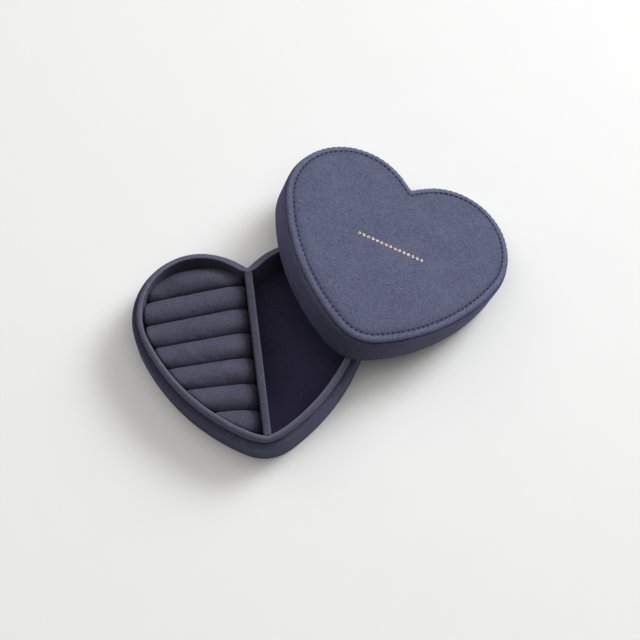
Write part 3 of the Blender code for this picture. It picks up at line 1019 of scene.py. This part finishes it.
def build_lid_linings(material):
    """Velvet inside the lid: round the wall and under the top board."""
    profile = rounded([(2.1, 0.3, 0.2), (2.8, 0.3, 0.3), (2.8, 15.2, 0.1), (2.2, 15.2, 0.1)])
    item = hoop("lid_wall_velvet", profile)
    ripple(item, 0.06 * MM, 10.0 * MM, seed=25.0)
    place(item, "lid", material, "velvet", "lid_wall_lining")
    rings = ((2.85, 15.35), (2.25, 15.5), (2.25, 15.9))
    item = sheet("lid_top_velvet", rings, 2.5 * MM, low=15.3, high=15.9)
    ripple(item, 0.06 * MM, 15.0 * MM, seed=27.0)
    place(item, "lid", material, "velvet", "lid_top_lining")


def panel_ring(bm, offset, height):
    """Ring of the panel, with a sharp corner at the notch as far in as the seam."""
    notch = max(SEAM_NOTCH, offset - SEAM_INSET + SEAM_NOTCH)
    return add_ring(bm, outline(offset, notch, SEAM_PLACES), height)


def panel_mesh():
    """The stitched top panel, open nowhere: cover and foam round its stiffener."""
    bm = bmesh.new()
    rings = [panel_ring(bm, offset * MM, height * MM) for offset, height, _ in PANEL_EDGE]
    for lower, upper in zip(rings, rings[1:]):
        bridge(bm, lower, upper)
    fill(bm, rings[0], 4.0 * MM, PANEL_EDGE[0][1] * MM)
    fill(bm, rings[-1], 1.6 * MM, PANEL_TOP)
    return finish_mesh("lid_panel", bm)


def scallop(item, ring_of):
    """Draw the cloth down round the panel's edge, in step with the stitches."""
    values = coordinates(item.data)
    for away, depth in SCALLOPS:
        members = np.nonzero(ring_of == PANEL_HEM + away)[0]
        drawn = (members - members[0]) % PLACES_PER_STITCH == 0
        values[members, 2] -= np.where(drawn, depth * MM, -depth * SCALLOP_RISE * MM)
    set_coordinates(item.data, values)


def build_lid_panel(material):
    """Padded top panel, swollen by cloth simulation, with a scalloped edge."""
    item = panel_mesh()
    start = coordinates(item.data)
    points_per_ring = 2 * (len(SEAM_PLACES) - 1)
    ring_of = np.arange(len(start)) // points_per_ring
    pinned = (start[:, 2] < PANEL_PINNED) | (ring_of <= PANEL_HEM)
    moves = simulate(item, pinned, PANEL_PRESSURE) - start
    set_coordinates(item.data, start + soften(moves, PANEL_MOVE_LIMIT))
    scallop(item, ring_of)
    ripple(item, 0.10 * MM, 7.0 * MM, seed=31.0)
    # Painted shade towards the tip, then the edge table's painted highlight and shade, ring by ring.
    painted_light = PANEL_TIP_PAINTED_SHADE * ease(-start[:, 1], 0.0, HALF_LENGTH)
    for ring, (_, _, value) in enumerate(PANEL_EDGE):
        painted_light[ring_of == ring] += value
    set_painted_light(item, painted_light)
    place(item, "lid", material, "lid_suede", "lid_panel_cover", "lid_panel_foam")
    return item


def stitch_ring(bm, path, at, share):
    """Ring of verts round a two-ply thread, a share of the way along its stitch."""
    count = len(path)
    index = int(math.floor(at))
    here = path[index % count].lerp(path[(index + 1) % count], at - index)
    ahead = (path[(index + 2) % count] - path[(index - 1) % count]).normalized()
    across = Vector((-ahead.y, ahead.x, 0.0))
    arch = math.sin(math.pi * share)
    height = THREAD_LOW + THREAD_ARCH * arch ** THREAD_ARCH_BEND - THREAD_SINK
    swell = STITCH_RADIUS * (THREAD_END + THREAD_SWELL * arch ** THREAD_SWELL_BEND)
    circle = []
    for side in range(STITCH_SIDES):
        angle = 2 * math.pi * side / STITCH_SIDES
        ply = 1.0 + THREAD_PLY * math.cos(2 * angle + share * THREAD_TWIST)
        arm = across * math.cos(angle) + Vector((0, 0, 1)) * math.sin(angle)
        circle.append(bm.verts.new(Vector((here.x, here.y, height)) + arm * swell * ply))
    return circle


def build_stitches(material):
    """Separate stitches in the groove round the panel."""
    places = stations(SEAM_INSET, SEAM_NOTCH, STITCHES * SAMPLES_PER_STITCH // 2)
    path = outline(SEAM_INSET, SEAM_NOTCH, places)
    count = len(path)
    span = STITCH_LENGTH / SEAM_LENGTH * count
    bm = bmesh.new()
    for stitch in range(STITCHES):
        middle = (stitch + 0.5) * count / STITCHES
        body = []
        for ring in range(STITCH_RINGS):
            share = ring / (STITCH_RINGS - 1)
            body.append(stitch_ring(bm, path, middle + (share - 0.5) * span, share))
        for lower, upper in zip(body, body[1:]):
            bridge(bm, lower, upper)
        bm.faces.new(body[0])
        bm.faces.new(body[-1])
    item = finish_mesh("lid_stitches", bm)
    place(item, "lid", material, "seam_thread", "lid_seam_thread")


def diamond(middle, long_half, high_half):
    """Corners of an upright lozenge, with its sides drawn in a little."""
    points = []
    for k in range(FOIL_CORNERS):
        angle = 2 * math.pi * k / FOIL_CORNERS
        reach = 1.0 if k % 2 == 0 else FOIL_WAIST
        points.append(Vector((middle + long_half * reach * math.cos(angle),
                              FOIL_Y + high_half * reach * math.sin(angle))))
    return points


def mark_ring(bm, surface, middle, points, shrink, lift):
    """Ring of verts on the panel, drawn in towards the mark's middle and lifted."""
    verts = []
    for p in points:
        spot = middle + (p - middle) * shrink
        hit = surface.ray_cast(Vector((*spot, ABOVE_LID)), Vector((0.0, 0.0, -1.0)))[0]
        verts.append(bm.verts.new((*spot, hit.z + lift)))
    return verts


def add_mark(bm, surface, outer, inner=None):
    """One small foil mark pressed on the panel, open in the middle if inner is given."""
    middle = sum(outer, Vector((0.0, 0.0))) / len(outer)
    steps = [(outer, 1.0, FOIL_LOW), (outer, 1.0, FOIL_EDGE), (outer, 0.92, FOIL_TOP)]
    if inner:
        steps += [(inner, 1.12, FOIL_TOP), (inner, 1.0, FOIL_EDGE), (inner, 1.0, FOIL_LOW)]
    rings = [mark_ring(bm, surface, middle, *step) for step in steps]
    if inner:
        rings.append(rings[0])
    for lower, upper in zip(rings, rings[1:]):
        bridge(bm, lower, upper)
    if not inner:
        bm.faces.new(rings[0])
        bm.faces.new(rings[-1])


def build_foil(material, panel):
    """A plain gold row of small open lozenges with dots between them."""
    back = lid_matrix().inverted()
    points = [back @ v.co for v in panel.data.vertices]
    surface = BVHTree.FromPolygons(points, [tuple(p.vertices) for p in panel.data.polygons])
    bm = bmesh.new()
    for i in range(FOIL_COUNT):
        x = FOIL_PITCH * (i - (FOIL_COUNT - 1) / 2)
        add_mark(bm, surface, diamond(x, 0.70 * MM, 0.90 * MM), diamond(x, 0.36 * MM, 0.52 * MM))
        if i < FOIL_COUNT - 1:
            add_mark(bm, surface, diamond(x + FOIL_PITCH / 2, 0.18 * MM, 0.18 * MM))
    item = finish_mesh("foil_ornament", bm)
    shade(item.data, False)
    place(item, "lid", material, "gold_foil", "lid_foil_ornament")


def paint_boards(material):
    """Give the CAD boards, which stay as they are, the greyboard's look."""
    for name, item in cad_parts.items():
        if name.endswith("_board"):
            item.data.materials.clear()
            item.data.materials.append(material)


# ------ stage

def build_ground():
    """Plain pale floor."""
    mesh = bpy.data.meshes.new("floor")
    corners = [(-1, -1), (1, -1), (1, 1), (-1, 1)]
    mesh.from_pydata([(FLOOR_REACH * x, FLOOR_REACH * y, FLOOR_HEIGHT) for x, y in corners],
                     [], [(0, 1, 2, 3)])
    item = add_object("floor", mesh)
    material, tree, shader = new_material("pale_floor", roughness=0.75, specular=0.25)
    grain = add_noise(tree, object_coordinates(tree), scale=40.0, detail=4.0)
    colour = add_mix(tree, grain, (0.795, 0.795, 0.790), (0.810, 0.810, 0.805))
    tree.links.new(colour, shader.inputs["Base Color"])
    item.data.materials.append(material)


def build_backdrop():
    """A pale wall far round the table, which lights nothing."""
    bm = bmesh.new()
    bmesh.ops.create_circle(bm, segments=64, radius=FLOOR_REACH)
    wall = bmesh.ops.extrude_edge_only(bm, edges=bm.edges)
    for element in wall["geom"]:
        if isinstance(element, bmesh.types.BMVert):
            element.co.z = WALL_HEIGHT
    bmesh.ops.translate(bm, verts=bm.verts, vec=(0.0, 0.0, FLOOR_HEIGHT))
    item = finish_mesh("backdrop", bm)
    material, _, shader = new_material("pale_backdrop", roughness=1.0, specular=0.0)
    shader.inputs["Base Color"].default_value = (0.0, 0.0, 0.0, 1.0)
    shader.inputs["Emission Color"].default_value = (1.0, 1.0, 0.99, 1.0)
    shader.inputs["Emission Strength"].default_value = WALL_GLOW
    item.data.materials.append(material)
    item.visible_diffuse = False
    item.visible_glossy = False
    item.visible_shadow = False


def aim(item, target):
    """Turn a light or the camera to look at a point."""
    item.rotation_mode = "QUATERNION"
    item.rotation_quaternion = (Vector(target) - item.location).to_track_quat("-Z", "Y")


def in_direction(azimuth, elevation, distance):
    """Point seen from the object at an azimuth, counted from +X, and an elevation."""
    turn = math.radians(azimuth)
    rise = math.radians(elevation)
    return Vector((math.cos(turn) * math.cos(rise), math.sin(turn) * math.cos(rise),
                   math.sin(rise))) * distance


def add_lamp(name, kind, place_at, energy, colour):
    """Lamp that shines on the object; returns its data for more settings."""
    light = bpy.data.lights.new(name, kind)
    light.energy = energy
    light.color = colour
    item = add_object(name, light)
    item.location = place_at
    aim(item, ORIGIN)
    return light


def add_light(name, place_at, size, power, colour):
    """Round soft lamp near the object."""
    light = add_lamp(name, "AREA", place_at, power, colour)
    light.shape = "DISK"
    light.size = size


def add_far_light(name, towards, spread, strength, colour):
    """Broad soft light from one side, as even far away as near the object."""
    light = add_lamp(name, "SUN", towards, strength, colour)
    light.angle = math.radians(spread)


def build_lights():
    """Bright cool light from the right, weaker warm light from the left and above."""
    add_light("key", in_direction(32.0, 43.0, 1.2), size=0.42, power=5.7, colour=COOL)
    add_far_light("key_halo", in_direction(32.0, 38.0, 1.0), spread=42.0, strength=1.36, colour=COOL)
    add_light("fill", in_direction(138.0, 45.0, 1.7), size=1.3, power=4.6, colour=WARM)
    add_far_light("overhead", Vector((0.0, 0.0, 1.0)), spread=61.0, strength=1.32, colour=WARM)
    world = bpy.data.worlds.new("studio")
    world.use_nodes = True
    sky = world.node_tree.nodes["Background"]
    sky.inputs["Color"].default_value = (1.0, 0.98, 0.96, 1.0)
    sky.inputs["Strength"].default_value = 0.03
    bpy.context.scene.world = world
    bpy.context.scene.view_settings.view_transform = "Standard"


def build_camera():
    """Camera high in front, rolled a little."""
    camera = bpy.data.cameras.new("camera")
    camera.lens = CAMERA_LENS
    camera.sensor_width = CAMERA_SENSOR
    item = add_object("camera", camera)
    item.location = CAMERA_PLACE
    aim(item, CAMERA_TARGET)
    roll = Matrix.Rotation(CAMERA_ROLL, 3, "Z").to_quaternion()
    item.rotation_quaternion = item.rotation_quaternion @ roll
    bpy.context.scene.camera = item


# ------ all together

def build_base():
    """Every visible piece of the base."""
    # A lighter copy of the velvet, for a painted highlight on the lip and divider.
    lit_collar_velvet = pile("velvet_collar_painted_highlight", dark=(0.080, 0.077, 0.112), light=(0.085, 0.083, 0.124),
                         sheen=0.20, grain=0.16)
    # A darker copy of the suede: painted shade on the base's walls.
    build_base_wrap(pile("suede_base_wall_painted_shade", dark=(0.070, 0.073, 0.116),
                         light=(0.074, 0.080, 0.127), sheen=0.10))
    build_collar(lit_collar_velvet)
    build_divider(lit_collar_velvet)
    # A darker copy of the velvet: painted shade in the deep compartment.
    build_floor(pile("velvet_floor_painted_shade", dark=(0.031, 0.027, 0.055), light=(0.033, 0.030, 0.060),
                     sheen=0.05, grain=0.08))
    build_underside(woven("underside_weave", (0.030, 0.032, 0.055)))
    rolls = pile("velvet_rolls", dark=(0.072, 0.069, 0.102), light=(0.077, 0.075, 0.113),
                 sheen=0.20, grain=0.17, patches=0.14, stretch=(0.7, 1.3, 1.0))
    for k in range(ROLL_COUNT):
        build_roll(k, rolls)


def build_lid():
    """Every visible piece of the lid."""
    # A darker, more purple copy of the suede: painted shade on the lid's wall.
    build_lid_wrap(pile("suede_lid_wall_painted_shade", dark=(0.083, 0.082, 0.140),
                        light=(0.088, 0.089, 0.152), sheen=0.10))
    build_lid_linings(pile("velvet", dark=(0.076, 0.072, 0.106), light=(0.081, 0.078, 0.118),
                           sheen=0.22, grain=0.16))
    panel = build_lid_panel(pile("suede", dark=(0.089, 0.094, 0.150),
                                 light=(0.094, 0.103, 0.164), sheen=0.12))
    build_stitches(twisted_thread("seam_thread"))
    build_foil(gold_foil("gold_foil"), panel)


build_camera()
build_lights()
build_ground()
build_backdrop()
build_base()
build_lid()
paint_boards(board("greyboard"))
